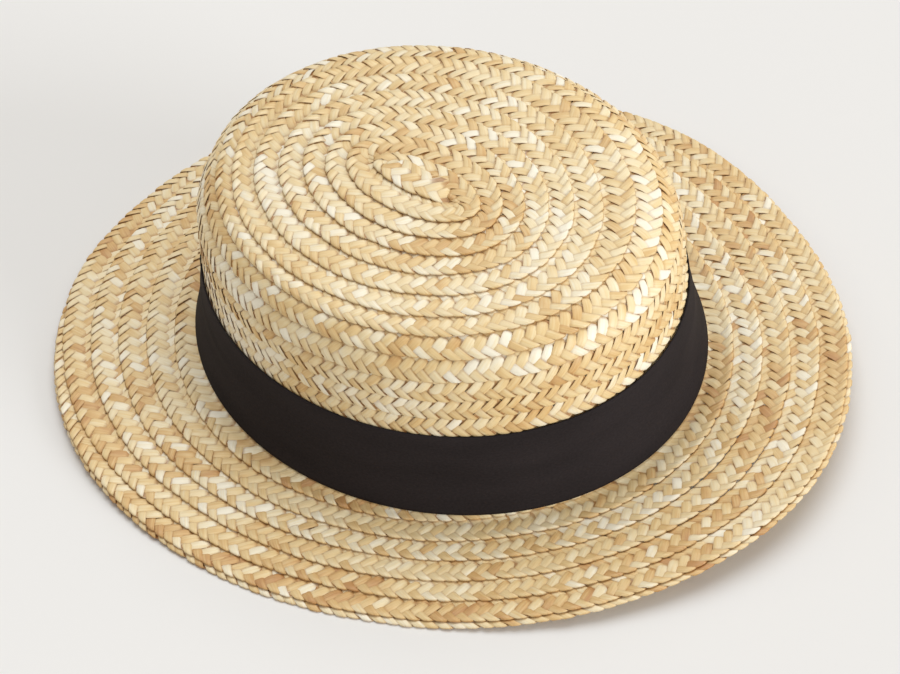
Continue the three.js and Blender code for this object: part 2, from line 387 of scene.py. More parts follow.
def hat_point(length, angle, off):
    """Points of the hat in mm, at a length from the crown's centre and a height off the face."""
    reach, height, out, up = section_at(length)
    centre = 1 - smooth(*START_FADES, length)
    brim = smooth(FOOT_LENGTH - FOOT_TURN, FOOT_LENGTH + FOOT_TURN, length)

    brim_reach = START_REACH + length - FOOT_LENGTH
    inner = np.minimum(brim_reach, START_REACH)
    inner_height = BRIM_HEIGHT + lean((inner + STRETCH) * np.cos(angle), inner * np.sin(angle))
    slope = (edge_lift(angle) + RIM_ABOVE_LIFT - inner_height) / (rows_reach(angle) - START_REACH)
    brim_height = inner_height + slope * np.maximum(0, length - FOOT_LENGTH)

    reach = reach + (brim_reach - reach) * brim
    out = out * (1 - brim) - slope * brim
    up = up * (1 - brim) + brim
    size = np.hypot(out, up)
    reach = reach + off * out / size
    x = (reach + STRETCH) * np.cos(angle) + PLAIT_START[0] * centre
    y = reach * np.sin(angle) + PLAIT_START[1] * centre
    crown_height = height + lean(x, y)
    z = crown_height + (brim_height - crown_height) * brim + off * up / size
    return np.stack([x + HAT_MIDDLE[0], y + HAT_MIDDLE[1], z], axis=-1)


# Where the rows run

def rounded_table(column):
    """A column of ROWS_INSIDE over one turn, with its corners rounded."""
    part = np.linspace(0, 1, TABLE_STEPS + 1)
    values = np.interp(part, ROWS_INSIDE["turn"], ROWS_INSIDE[column])
    window = np.hanning(2 * TABLE_ROUNDING + 1)
    before, after = values[-TABLE_ROUNDING - 1 : -1], values[1 : TABLE_ROUNDING + 1]
    padded = np.concatenate([before, values, after])
    return part, np.convolve(padded, window / window.sum(), mode="valid")


FOOT_ROWS = rounded_table("foot")
EDGE_ROWS = rounded_table("edge")
UPPER_ROW = np.concatenate([[0], np.cumsum([rows for rows, _ in UPPER_ROWS])])
UPPER_LENGTH = np.concatenate([[0], np.cumsum([rows * shows for rows, shows in UPPER_ROWS])])


def angle_at(turn):
    """Angle round the hat after some turns. The plait runs clockwise seen from above."""
    return math.radians(PLAIT_ENDS) - TURN * turn


def row_place(row, turn):
    """Length from the crown's centre to a row number, at a place in a turn."""
    part = np.mod(turn, 1)
    angle = angle_at(turn)
    foot = CROWN_ROWS + np.interp(part, *FOOT_ROWS)
    edge = CROWN_ROWS + BRIM_ROWS + np.interp(part, *EDGE_ROWS)
    row = np.minimum(row, edge)
    upper = np.where(row < 0, row * UPPER_ROWS[0][1], np.interp(row, UPPER_ROW, UPPER_LENGTH))
    share = (row - UPPER_ROW[-1]) / (foot - UPPER_ROW[-1])
    wall = UPPER_LENGTH[-1] + share * (FOOT_LENGTH - UPPER_LENGTH[-1])
    brim = FOOT_LENGTH + (row - foot) / (edge - foot) * (rows_reach(angle) - START_REACH)
    return np.where(row < UPPER_ROW[-1], upper, np.where(row < foot, wall, brim))


def stray(turn):
    """How a row strays to either side along its way, between -1 and 1."""
    slow, middling, fast = (TURN * per_turn * turn for per_turn in (2.37, 5.61, 11.3))
    return (np.sin(slow + 1.1) + np.sin(middling) + np.sin(fast + 4)) / 3


def square_to_row(angle, edge, inwards):
    """The angle of a point straight in from the row's edge, which isn't along the oval's rays."""
    reach = np.interp(edge - inwards / 2, SECTION["length"], SECTION["reach"])
    reach = np.maximum(reach, LEAST_REACH)
    sine, cosine = np.sin(angle), np.cos(angle)
    run = ((reach + STRETCH) * sine) ** 2 + (reach * cosine) ** 2
    return angle - inwards * STRETCH * sine * cosine / run


def straight_in(angle, edge):
    """The direction straight in from a row's edge near the crown's centre, with its rise."""
    inward = np.stack([-edge * np.cos(angle), -(edge + STRETCH) * np.sin(angle)], axis=-1)
    inward = inward / np.linalg.norm(inward, axis=-1, keepdims=True)
    return np.concatenate([inward, lean(inward[..., :1], inward[..., 1:])], axis=-1)


class Spiral:
    """The plait's way from the crown's centre to the brim's edge."""

    def __init__(self, plait):
        self.step, self.curl = plait.step / MM, plait.curl / MM
        self.wobble = plait.wobble / MM
        turn = np.linspace(PLAIT_BEGINS - SPARE_TURN, LAST_TURN + SPARE_TURN, WAY_STEPS)
        edge = row_place(turn, turn)
        pitch_line = edge - np.minimum(PITCH_LINE, PITCH_LINE_PART * edge)
        middle = hat_point(pitch_line, angle_at(turn), 0)
        run = np.concatenate([[0], np.cumsum(np.linalg.norm(np.diff(middle, axis=0), axis=1))])
        self.turns = turn
        self.phases = (run - np.interp(PLAIT_BEGINS, turn, run)) / (plait.pitch / MM)

    def units(self, start, end):
        """The straws that turn back at the plait's edge between two turns."""
        first, last = np.interp((start, end), self.turns, self.phases)
        return np.arange(math.ceil(first), math.ceil(last))

    def point(self, phase, inwards, off):
        """Points at a phase along the plait, a distance in from its edge and a height off it,
        with how much painted shade the row above casts on them."""
        turn = np.interp(phase, self.phases, self.turns)
        angle = angle_at(turn)
        ease = np.clip(LAST_TURN - turn, 0, 1)
        edge = row_place(turn, turn) + self.wobble * stray(turn) * ease
        row_above = row_place(turn - 1, turn) + self.wobble * stray(turn - 1)
        strip = 1 - smooth(*STRIP_BECOMES_ROW, turn)
        shows = np.maximum(edge - row_above, LEAST_SHOWS) + STRIP_SHOWS * strip
        shows_above = np.maximum(row_above - row_place(turn - 2, turn), LEAST_SHOWS_ABOVE)
        # Painted shade where the row above hides this row.
        covered_shade = COVERED_SHADE * smooth(*COVERED_OVER, inwards - shows)
        length = edge - inwards

        tucked = 1 - smooth(PLAIT_BEGINS, PLAIT_BEGINS + TUCK_TURNS, turn)
        raised = self.curl * np.exp(-np.maximum(inwards, 0) / CURL_WIDTH)
        raised = raised + strip * (STRIP_RAISED + STRIP_TILT * inwards) - TUCK_DEPTH * tucked
        free = np.abs(length - FOOT_LENGTH + RIBBON_MIDDLE) > RIBBON_MIDDLE
        off = np.where(free, off + raised, np.minimum(off, PRESSED_OFF))
        steps = np.where(inwards < shows, inwards / shows, 1 + (inwards - shows) / shows_above)
        off = off - self.step * steps

        # The strip's points lie straight in from its edge, a row's along its rays.
        none = 0 * inwards
        strip_in = straight_in(angle, np.minimum(edge, STRIP_STRAIGHT) + none)
        strip_points = hat_point(edge + none, angle + none, off) + strip_in * inwards[..., None]
        bunched = CENTRE_GUARD * np.exp(np.minimum(length, CENTRE_GUARD) / CENTRE_GUARD - 1)
        length = np.where(length > CENTRE_GUARD, length, bunched)
        points = hat_point(length, square_to_row(angle, edge, inwards), off)
        return points + (strip_points - points) * strip[..., None], covered_shade


class EdgeRing:
    """The way of the second plait, sewn under the brim's edge."""

    def __init__(self, plait):
        self.step = plait.step / MM
        angle = np.linspace(0, TURN, RING_WAY_STEPS + 1)
        place = FOOT_LENGTH + edge_value("reach", angle) - START_REACH - RING_PITCH_LINE
        middle = hat_point(place, angle, 0)
        run = np.concatenate([[0], np.cumsum(np.linalg.norm(np.diff(middle, axis=0), axis=1))])
        self.count = CELLS * round(run[-1] / (plait.pitch / MM) / CELLS)
        self.angles = angle
        self.phases = run / run[-1] * self.count

    def units(self):
        """All the straws that turn back at the edge in one round."""
        return np.arange(self.count)

    def point(self, phase, inwards, off):
        """Points of the ring, under the last row and clear of it, with the painted shade that the last row
        casts on them.
        """
        angle = -np.interp(np.mod(phase, self.count), self.phases, self.angles)
        part = np.mod((math.radians(PLAIT_ENDS) - angle) / TURN, 1)
        under_end = smooth(*RING_SINKS, part) * (1 - smooth(*RING_RISES, part))
        inside = inwards - edge_value("shows", angle)
        steps = np.maximum(0, inside) / RING_WIDTH + RING_STEPS + RING_END_STEPS * under_end
        place = FOOT_LENGTH + rows_reach(angle) - START_REACH - inside
        return hat_point(place, angle, off - self.step * steps), smooth(*RING_COVERED_OVER, inside)


# The straws

class Straws:
    """What each straw of the plait is like, drawn once for the whole length."""

    def __init__(self, count, seed):
        draw = np.random.default_rng(seed)
        self.mark = np.zeros(count)
        tone = np.zeros(count)
        for strand in range(CELLS):
            for unit in range(strand, count, CELLS):
                if unit < CELLS or draw.random() < 1 / UNITS_PER_STRAW:
                    bleached = draw.random() < BLEACHED_SHARE
                    straw_tone = draw.normal(*(BLEACHED_TONE if bleached else PLAIN_TONE))
                    straw_mark = draw.random()
                tone[unit], self.mark[unit] = straw_tone, straw_mark
        steps = draw.normal(0, 1, count + DRIFT_UNITS - 1)
        tone += TONE_DRIFT * np.convolve(steps, np.hanning(DRIFT_UNITS + 2)[1:-1], mode="valid")
        self.tones = np.clip(tone[:, None] + draw.normal(0, PASS_TONE_SPREAD, (count, 2)), 0, 1)

        def varied(spread, least, most):
            """One draw for each straw, kept between the least and the most."""
            return np.clip(draw.normal(0, spread, count), least, most)

        self.width = varied(*WIDTH_VARIES)
        self.shift = varied(*SHIFT_VARIES)
        self.bulge = varied(*BULGE_VARIES)
        self.tilt = draw.normal(0, TILT_SPREAD, (count, 2))
        self.lift = draw.normal(0, LIFT_SPREAD, (count, 2))


def way_across():
    """Places across the plait, in cells, and how far a straw has gone along it, in pitches."""
    place = np.linspace(-1, CELLS + 1, ACROSS_STEPS + 1)
    slant = np.interp(place, STRAW_WAY["place"], STRAW_WAY["slant"])
    gone = np.concatenate([[0], np.cumsum((slant[1:] + slant[:-1]) / 2)])
    gone -= np.interp(0, place, gone)
    return place, gone * CELLS / 2 / np.interp(CELLS, place, gone)


WAY_ACROSS = way_across()


def over_under(place):
    """1 where a straw that begins on top lies over, -1 where under, smooth between."""
    swaps = [smooth(s - SWAP_HALF, s + SWAP_HALF, place) for s in SWAPS]
    return 1 - 2 * swaps[0] + 2 * swaps[1]


def straw_rings(way, units, straws, plait, width):
    """Rings round each unit's straw: back from the inner edge, round the fold and in again.
    With them comes how deep each point lies in the weave, from 0 to 1, which sets its painted shade."""
    cell = plait.width / MM / CELLS
    rise, slope = plait.rise / MM, plait.slope / MM
    stations = np.array(STATIONS)[None, :, None]
    stations_back = stations[:, ::-1]
    square = np.interp(stations, RING_SQUARE["place"], RING_SQUARE["square"])
    side = np.array(RING_FACE, float)[None, None, :]
    face = side * (plait.straw / MM / 2)
    breadth = np.interp(stations, STRAW_WAY["place"], STRAW_WAY["breadth"])
    breadth = (width + straws.width[units])[:, None, None] * breadth
    across = np.array(RING_ACROSS)[None, None, :] * breadth
    middle = (units + straws.shift[units])[:, None, None]
    tilt = straws.tilt[units][:, :, None, None]
    lift = straws.lift[units][:, :, None, None]

    back = (stations + across * (1 - square))[:, ::-1]
    across_back = across[:, ::-1]
    back_over = -over_under(stations_back)
    back_off = arched(back_over, stations_back, rise, lift[:, 0]) - face
    back_off = back_off + (tilt[:, 0] + slope) * across_back
    back_phase = middle - np.interp(back, *WAY_ACROSS) + across_back

    out = stations - across * (1 - square)
    out_over = over_under(stations)
    out_off = arched(out_over, stations, rise, lift[:, 1]) + face + (tilt[:, 1] - slope) * across
    out_phase = middle + np.interp(out, *WAY_ACROSS) + across

    # Each fold bulges a little past the plait's edge, and some stand out further.
    bulge = straws.bulge[units][:, None, None] + FOLD_BULGE * (1 - (2 * across[:, :1]) ** 2)
    out = out - bulge * np.exp(-stations / FOLD_FADES)
    back = back - bulge * np.exp(-stations_back / FOLD_FADES)
    flat = np.zeros_like(across[:, :1])
    fold = middle + across[:, :1]
    phase = np.concatenate([back_phase, fold, out_phase, fold + CELLS / 2], axis=1)
    inward = np.concatenate(
        [back * cell, -bulge * cell - face, out * cell, flat + CELLS * cell + face], axis=1
    )
    off = np.concatenate([back_off, flat, out_off, flat], axis=1)
    points, covered_shade = way.point(phase, inward, off)
    points[..., 2] = np.maximum(points[..., 2], FLOOR_CLEAR)

    # Painted shade at the straws' sides, folds and inner ends, where they dive under others and next to the
    # row above.
    inner_depth = flat + INNER_EDGE_SHADE
    fold_depth = flat + np.where(side > 0, FOLD_SHADE, SIDE_SHADE)
    back_depth = np.where(side == 0, SIDE_SHADE, smooth(*DIVING, side * back_over)) + 0 * back
    near_fold = np.maximum(back_depth, np.exp(-stations_back / BACK_FADES))
    back_depth = np.where(side > 0, near_fold, back_depth)
    out_depth = np.where(side == 0, SIDE_SHADE, smooth(*DIVING, -side * out_over)) + 0 * out
    shade_depth = np.concatenate([back_depth, fold_depth, out_depth, inner_depth], axis=1)
    upper = np.concatenate([side <= 0 * back, side <= 0 * flat, side >= 0 * out, side >= 0 * flat], axis=1)
    return points, np.where(upper, np.maximum(shade_depth, covered_shade), shade_depth)


def arched(over, place, rise, lift):
    """Height of a straw: up where it lies over, most of all at the middle of its float."""
    float_arch = np.exp(-(((place - sum(SWAPS) / 2) / FLOAT_HALF) ** 2))
    edge_arch = EDGE_ARCH * np.exp(-((place / EDGE_HALF) ** 2))
    return over * rise + np.where(over > 0, lift + FLOAT_ARCH * rise * (float_arch + edge_arch), 0)


def straw_lengths(plait):
    """Where each ring and the next one lie along a straw, and the ways round it, in mm."""
    cell = plait.width / MM / CELLS
    slant = math.hypot(cell, plait.pitch / MM / 2)
    there = np.array(STATIONS) * slant
    full = CELLS * slant
    run = np.concatenate([full - there[::-1], [full], full + there, [2 * full]])
    run_next = np.append(run[1:], 2 * full + there[0])
    straw_width = plait.pitch / MM * cell / slant
    return run, run_next, np.array(RING_ROUND) * straw_width


def strand_faces(base, total, sides):
    """The faces of one strand's rings: its quads, then both its ends."""
    side = np.arange(sides)
    here = np.arange(total - 1)[:, None] * sides + base
    there = here + sides
    after = (side + 1) % sides
    quads = np.stack([here + side, there + side, there + after, here + after], axis=-1)
    ends = [(base + side).tolist(), (base + total * sides - 1 - side).tolist()]
    return quads.reshape(-1, 4).tolist() + ends


def strand_uvs(chosen, lengths, columns, lines):
    """One strand's maps: the way along and round its straws, and, for baking, a cell of its
    own in a grid for each fold. Both ends of the strand take the first corner's place."""
    run, run_next, round_way = lengths
    sides = len(round_way) - 1
    order = np.repeat(np.arange(len(chosen)), len(run))[:-1]
    step = np.tile(np.arange(len(run)), len(chosen))[:-1]
    u = np.stack([run[step], run_next[step], run_next[step], run[step]], axis=-1)[:, None]
    v = np.stack([round_way[:-1], round_way[:-1], round_way[1:], round_way[1:]], axis=-1)[None]
    u, v = (np.broadcast_to(way, (len(order), sides, 4)) for way in (u, v))
    straw_uv = np.stack([u + run[-1] * order[:, None, None], v], axis=-1)

    unit = chosen[order][:, None, None]
    u_part = BAKE_MARGIN + (1 - 2 * BAKE_MARGIN) * u / run_next[-1]
    v_part = BAKE_MARGIN + (1 - 2 * BAKE_MARGIN) * v / round_way[-1]
    bake_uv = np.stack([(unit % columns + u_part) / columns, (unit // columns + v_part) / lines], axis=-1)
    flat = [uv.reshape(-1, 2) for uv in (straw_uv, bake_uv)]
    return [np.concatenate([uv, np.repeat(uv[:1], 2 * sides, axis=0)]) for uv in flat]


def woven_piece(name, way, units, straws, plait, width, material):
    """One piece of plait: five strands of straw, woven and folded, as one mesh."""
    rings, shade_depth = straw_rings(way, units, straws, plait, width)
    count, steps, sides = rings.shape[:3]
    tone = np.repeat(straws.tones[units], steps // 2, axis=1)
    mark = np.repeat(straws.mark[units][:, None], steps, axis=1)
    # The colour attribute holds each straw's tone, its mark and how much painted shade it takes.
    colour = np.stack(np.broadcast_arrays(tone[..., None], mark[..., None], shade_depth, 1.0), axis=-1)
    lengths = straw_lengths(plait)
    columns = max(1, round(math.sqrt(count / FOLD_SHAPE)))
    lines = math.ceil(count / columns)

    verts, faces, colours, straw_uvs, bake_uvs = [], [], [], [], []
    base = 0
    for strand in range(CELLS):
        chosen = np.flatnonzero(units % CELLS == strand)
        total = len(chosen) * steps
        verts.append(rings[chosen].reshape(-1, 3))
        colours.append(colour[chosen].reshape(-1, 4))
        faces += strand_faces(base, total, sides)
        straw_uv, bake_uv = strand_uvs(chosen, lengths, columns, lines)
        straw_uvs.append(straw_uv)
        bake_uvs.append(bake_uv)
        base += total * sides

    piece = mesh_object(name, np.concatenate(verts), faces, material)
    keep_straw_edges(piece, sides)
    add_uv(piece, "OFBake", np.concatenate(bake_uvs))
    add_uv(piece, "straw_run", np.concatenate(straw_uvs))
    attribute = piece.data.attributes.new("straw", "FLOAT_COLOR", "POINT")
    attribute.data.foreach_set("color", np.concatenate(colours).astype(np.float32).ravel())
    return piece


def keep_straw_edges(piece, sides):
    """Marks both edges of every straw sharp, so that its face stays clear of its sides."""
    mesh = piece.data
    ends = np.empty(2 * len(mesh.edges), int)
    mesh.edges.foreach_get("vertices", ends)
    ends = ends.reshape(-1, 2) % sides
    straw_edges = np.flatnonzero(np.array(RING_FACE) == 0)
    sharp = (ends[:, 0] == ends[:, 1]) & np.isin(ends[:, 0], straw_edges)
    mesh.attributes.new("sharp_edge", "BOOLEAN", "EDGE").data.foreach_set("value", sharp)


def mesh_object(name, points, faces, material):
    """A smooth mesh object from points in mm."""
    mesh = bpy.data.meshes.new(name)
    mesh.from_pydata((points * MM).tolist(), [], faces)
    mesh.polygons.foreach_set("use_smooth", np.ones(len(mesh.polygons), bool))
    mesh.materials.append(material)
    mesh.update()
    piece = bpy.data.objects.new(name, mesh)
    bpy.context.scene.collection.objects.link(piece)
    return piece


def add_uv(piece, name, coordinates):
    """A UV map from one pair of coordinates a corner."""
    layer = piece.data.uv_layers.new(name=name)
    layer.data.foreach_set("uv", np.ascontiguousarray(coordinates, np.float32).ravel())


def on_the_hat(piece, node):
    """The piece stands for a solid of the frame and goes with it."""
    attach(piece, "root")
    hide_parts(node)


# Finishes

def add_node(tree, kind, inputs=(), stops=(), **settings):
    """One node with its settings. inputs pairs a socket with a value or with what feeds it."""
    made = tree.nodes.new(kind)
    for name, value in settings.items():
        setattr(made, name, value)
    for socket, value in dict(inputs).items():
        if isinstance(value, bpy.types.NodeSocket):
            tree.links.new(value, made.inputs[socket])
        else:
            made.inputs[socket].default_value = value
    for i, (place, colour) in enumerate(stops):
        ramp = made.color_ramp
        element = ramp.elements[i] if i < 2 else ramp.elements.new(place)
        element.position = place
        element.color = colour
    return made


def new_material(name):
    """An empty node material with its output."""
    material = bpy.data.materials.new(name)
    material.use_nodes = True
    material.node_tree.nodes.clear()
    return material, material.node_tree


def flattened_straw(name, colours, browning_and_shade):
    """Wheat straw, split, flattened and plaited dry. It has a satin skin with fine lengthwise
    fibres and each straw has its own tone. Its cut edges, its folds and where it dives under another straw
    are painted browner, as shade."""
    material, tree = new_material(name)
    info = add_node(tree, "ShaderNodeAttribute", attribute_name="straw")
    parts = add_node(tree, "ShaderNodeSeparateColor", {0: info.outputs["Color"]})
    tone, mark = parts.outputs[0], parts.outputs[1]
    run = add_node(tree, "ShaderNodeUVMap", uv_map="straw_run").outputs[0]
    far = add_node(tree, "ShaderNodeMath", {0: mark, 1: 70.0}, operation="MULTIPLY").outputs[0]
    apart = add_node(tree, "ShaderNodeCombineXYZ", {2: far}).outputs[0]

    # Real fibres are about 0.1 mm apart. They are drawn 0.5 mm apart, so that they show.
    fibre_place = add_node(
        tree, "ShaderNodeVectorMath", {0: run, 1: (0.10, 2.0, 1.0), 2: apart}, operation="MULTIPLY_ADD"
    ).outputs[0]
    fibres = add_node(tree, "ShaderNodeTexNoise", {0: fibre_place, "Scale": 1.0, "Detail": 3.0}).outputs[0]
    # Patches of sun and age are some 8 mm long.
    patch_place = add_node(
        tree, "ShaderNodeVectorMath", {0: run, 1: (0.12, 0.3, 1.0), 2: apart}, operation="MULTIPLY_ADD"
    ).outputs[0]
    patches = add_node(tree, "ShaderNodeTexNoise", {0: patch_place, "Scale": 1.0, "Detail": 1.0}).outputs[0]

    fibred = add_node(
        tree, "ShaderNodeMath", {0: fibres, 1: 0.45, 2: tone}, operation="MULTIPLY_ADD"
    ).outputs[0]
    patched = add_node(
        tree, "ShaderNodeMath", {0: patches, 1: 0.5, 2: fibred}, operation="MULTIPLY_ADD"
    ).outputs[0]
    # The part's shift in tone is partly the straw's own tone and partly painted shade.
    shade = add_node(
        tree, "ShaderNodeMath", {0: patched, 1: 0.475 - browning_and_shade}, operation="SUBTRACT"
    ).outputs[0]
    stops = (
        (0.05, colours.pale),
        (1.0, colours.brown),
        (0.3, colours.cream),
        (0.56, colours.golden),
        (0.8, colours.tan),
    )
    straw = add_node(tree, "ShaderNodeValToRGB", {0: shade}, stops=stops).outputs[0]

    # Painted shade: where a straw dives under another, at its edges and folds and under the row above, its
    # colour is mixed toward a brown shade.
    shade_share = add_node(
        tree, "ShaderNodeMapRange", {0: parts.outputs[2], 1: 0.1, 2: 1.0, 3: 0.0, 4: 0.8}
    ).outputs[0]
    shaded_straw = add_node(
        tree, "ShaderNodeMix", {0: shade_share, 6: straw, 7: colours.shade}, data_type="RGBA"
    ).outputs[2]

    gloss = add_node(tree, "ShaderNodeMapRange", {0: fibres, 1: 0.3, 2: 0.7, 3: 0.36, 4: 0.55}).outputs[0]
    bump = add_node(
        tree, "ShaderNodeBump", {"Height": fibres, "Strength": 0.5, "Distance": 0.00025}
    ).outputs[0]
    skin = add_node(
        tree,
        "ShaderNodeBsdfPrincipled",
        {"Base Color": shaded_straw, "Roughness": gloss, "Normal": bump, "IOR": 1.5},
    )
    add_node(tree, "ShaderNodeOutputMaterial", {0: skin.outputs[0]})
    return material


def cotton_ribbon(colours):
    """Cotton ribbon, woven close and dyed near black. It is matt, with a slight bloom where
    fibres stand up, and its weave only shows as a faint grain."""
    material, tree = new_material("woven_cotton_ribbon")
    run = add_node(tree, "ShaderNodeUVMap", uv_map="ribbon_run").outputs[0]
    # Threads are 0.35 mm apart, and are drawn as a grain of 0.8 mm, so that they show.
    grain_place = add_node(
        tree, "ShaderNodeVectorMath", {0: run, 1: (0.9, 1.6, 0)}, operation="MULTIPLY"
    ).outputs[0]
    grain = add_node(tree, "ShaderNodeTexNoise", {0: grain_place, "Scale": 1.0, "Detail": 4.0}).outputs[0]
    cloud_place = add_node(
        tree, "ShaderNodeVectorMath", {0: run, 1: (0.02, 0.08, 0)}, operation="MULTIPLY"
    ).outputs[0]
    cloud = add_node(tree, "ShaderNodeTexNoise", {0: cloud_place, "Scale": 1.0, "Detail": 2.0}).outputs[0]
    mixed = add_node(tree, "ShaderNodeMath", {0: grain, 1: cloud}, operation="ADD").outputs[0]
    faded = add_node(tree, "ShaderNodeMapRange", {0: mixed, 1: 0.6, 2: 1.4, 3: 0.0, 4: 1.0}).outputs[0]
    deep = [c * 0.72 for c in colours.ribbon[:3]] + [1]
    pale = [c * 1.35 for c in colours.ribbon[:3]] + [1]
    cloth = add_node(tree, "ShaderNodeMix", {0: faded, 6: deep, 7: pale}, data_type="RGBA").outputs[2]
    bump = add_node(
        tree, "ShaderNodeBump", {"Height": grain, "Strength": 0.35, "Distance": 0.0002}
    ).outputs[0]
    weave = add_node(
        tree,
        "ShaderNodeBsdfPrincipled",
        {"Base Color": cloth, "Roughness": 0.85, "Normal": bump, "Specular IOR Level": 0.12},
    )
    add_node(tree, "ShaderNodeOutputMaterial", {0: weave.outputs[0]})
    return material


def painted_floor(stage):
    """Matt white painted board. It is plain and takes soft shadows."""
    material, tree = new_material("matt_painted_board")
    place = add_node(tree, "ShaderNodeTexCoord").outputs["Object"]
    grain = add_node(tree, "ShaderNodeTexNoise", {0: place, "Scale": 3.0, "Detail": 1.0}).outputs[0]
    dim = [c * 0.985 for c in stage.floor[:3]] + [1]
    paint = add_node(
        tree, "ShaderNodeMix", {0: grain, 6: dim, 7: tuple(stage.floor)}, data_type="RGBA"
    ).outputs[2]
    board = add_node(tree, "ShaderNodeBsdfPrincipled", {"Base Color": paint, "Roughness": 0.9})
    add_node(tree, "ShaderNodeOutputMaterial", {0: board.outputs[0]})
    return material


# The ribbon

def ribbon_band(settings, material):
    """The ribbon: one strip drawn round the crown, its end lapped over its start at the back."""
    height, thick, lap = (v / MM for v in (settings.height, settings.thickness, settings.lap))
    lap_angle = lap / LAP_REACH
    along = np.linspace(0, 1, RIBBON_STEPS + 1)
    angle = (math.radians(RIBBON_STARTS) - along * (TURN + lap_angle))[:, None]
    up = np.linspace(0, 1, RIBBON_CROSS_STEPS + 1)[None, :]
    length = FOOT_LENGTH - RIBBON_ABOVE_FOOT - height * up + 0 * angle

    rises, risen = (1 - laps * lap_angle / TURN for laps in LAP_RISES)
    lapped = smooth(rises, risen, along)[:, None]

    # Shallow waves, and here and there a soft fold along the ribbon.
    crease = settings.crease / MM
    waves = np.sin(3.0 * angle + 9 * up + 0.6) * np.sin(7.0 * angle - 3 * up) * np.sin(math.pi * up) ** 0.5
    fold_line = 0.62 + 0.05 * np.sin(4 * angle)
    folds = np.exp(-(((up - fold_line) / 0.06) ** 2)) * np.maximum(0, np.sin(2.3 * angle + 0.4))
    lift = RIBBON_OFF + crease * (0.12 + 0.4 * waves + 0.5 * folds) + (thick + LAP_GAP) * lapped
    outer = hat_surface(length, angle, lift + thick)
    inner = hat_surface(length, angle, lift)

    points = np.concatenate([outer.reshape(-1, 3), inner.reshape(-1, 3)])
    grid = np.arange(length.size).reshape(length.shape)
    a, b, c, d = grid[:-1, :-1], grid[1:, :-1], grid[1:, 1:], grid[:-1, 1:]
    front = np.stack([b, a, d, c], axis=-1).reshape(-1, 4)
    back = np.stack([a, b, c, d], axis=-1).reshape(-1, 4) + grid.size
    rims = []
    for line, flip in ((grid[:, 0], False), (grid[:, -1], True), (grid[0, :], True), (grid[-1, :], False)):
        one, two = line[:-1], line[1:]
        quads = np.stack([one, two, two + grid.size, one + grid.size], axis=-1)
        rims.append(quads[:, ::-1] if flip else quads)
    faces = np.concatenate([front, back, *rims])
    piece = mesh_object("ribbon_band", points, faces.tolist(), material)

    run = np.stack(np.broadcast_arrays(along[:, None] * RIBBON_RUN, up * height), axis=-1)
    run = np.tile(run.reshape(-1, 2), (2, 1))
    add_uv(piece, "OFBake", ribbon_bake_uv(faces, run, grid.size, height))
    add_uv(piece, "ribbon_run", run[faces.ravel()])
    return piece


def ribbon_bake_uv(faces, run, size, height):
    """The strip laid out in folded lines, its face in the upper half and its back below."""
    span = RIBBON_RUN / BAKE_LINES
    corners = run[faces]
    line = np.minimum(np.floor(corners[:, :, 0].mean(axis=1) / span), BAKE_LINES - 1)[:, None]
    u = (corners[:, :, 0] - line * span) / span * (1 - 2 * BAKE_ENDS) + BAKE_ENDS
    v = (line + BAKE_SIDES + (1 - 2 * BAKE_SIDES) * corners[:, :, 1] / height) / BAKE_LINES
    is_back = (faces.mean(axis=1) >= size)[:, None]
    v = v / 2 + np.where(is_back, 0, 0.5)
    return np.stack([u, v], axis=-1).reshape(-1, 2)


def hat_surface(length, angle, off):
    """Points on the wall alone, without the turn into the brim."""
    reach, height, out, up = section_at(length)
    reach = reach + off * out
    x = (reach + STRETCH) * np.cos(angle)
    y = reach * np.sin(angle)
    z = height + off * up + lean(x, y)
    return np.stack([x + HAT_MIDDLE[0], y + HAT_MIDDLE[1], z], axis=-1)


# The makers

def plait_pieces(scene, part, start, turns, node):
    """The pieces of one part's plait, numbered from the inside. Turns says where each ends."""
    plait = scene.boater_plait
    material = flattened_straw(f"plaited_straw_{part}", scene.boater_colours, BROWNING_AND_SHADE[part])
    way = Spiral(plait)
    straws = Straws(int(way.phases[-1]) + SPARE_UNITS, plait.seed)
    for number, end in enumerate(turns, 1):
        units = way.units(start, end)
        if not len(units):
            raise RuntimeError(f"{part}: no straw turns back between turns {start} and {end}")
        name = f"{part}_plait_{number}"
        on_the_hat(woven_piece(name, way, units, straws, plait, BREADTH[part], material), node)
        start = end


class BOATER_OT_crown_tip(bpy.types.Operator):
    """Weave the flat top of the crown and its rounded edge"""

    bl_idname = "boater.crown_tip"
    bl_label = "Crown Tip"

    def execute(self, context):
        plait_pieces(context.scene, "tip", PLAIT_BEGINS, TIP_TURNS, "crown_tip")
        return {"FINISHED"}


class BOATER_OT_crown_side(bpy.types.Operator):
    """Weave the crown's wall"""

    bl_idname = "boater.crown_side"
    bl_label = "Crown Side"

    def execute(self, context):
        plait_pieces(context.scene, "wall", TIP_TURNS[-1], WALL_TURNS, "crown_side")
        return {"FINISHED"}


class BOATER_OT_brim(bpy.types.Operator):
    """Weave the rows of the brim"""

    bl_idname = "boater.brim"
    bl_label = "Brim"

    def execute(self, context):
        plait_pieces(context.scene, "brim", WALL_TURNS[-1], BRIM_TURNS, "brim")
        return {"FINISHED"}


class BOATER_OT_edge_plait(bpy.types.Operator):
    """Weave the second plait, sewn under the brim's edge"""

    bl_idname = "boater.edge_plait"
    bl_label = "Edge Plait"

    def execute(self, context):
        plait = context.scene.boater_plait
        material = flattened_straw("plaited_straw_edge", context.scene.boater_colours, BROWNING_AND_SHADE["edge"])
        way = EdgeRing(plait)
        straws = Straws(way.count, plait.seed + 1)
        piece = woven_piece("edge_plait_ring", way, way.units(), straws, plait, BREADTH["edge"], material)
        on_the_hat(piece, "brim_edge_plait")
        return {"FINISHED"}


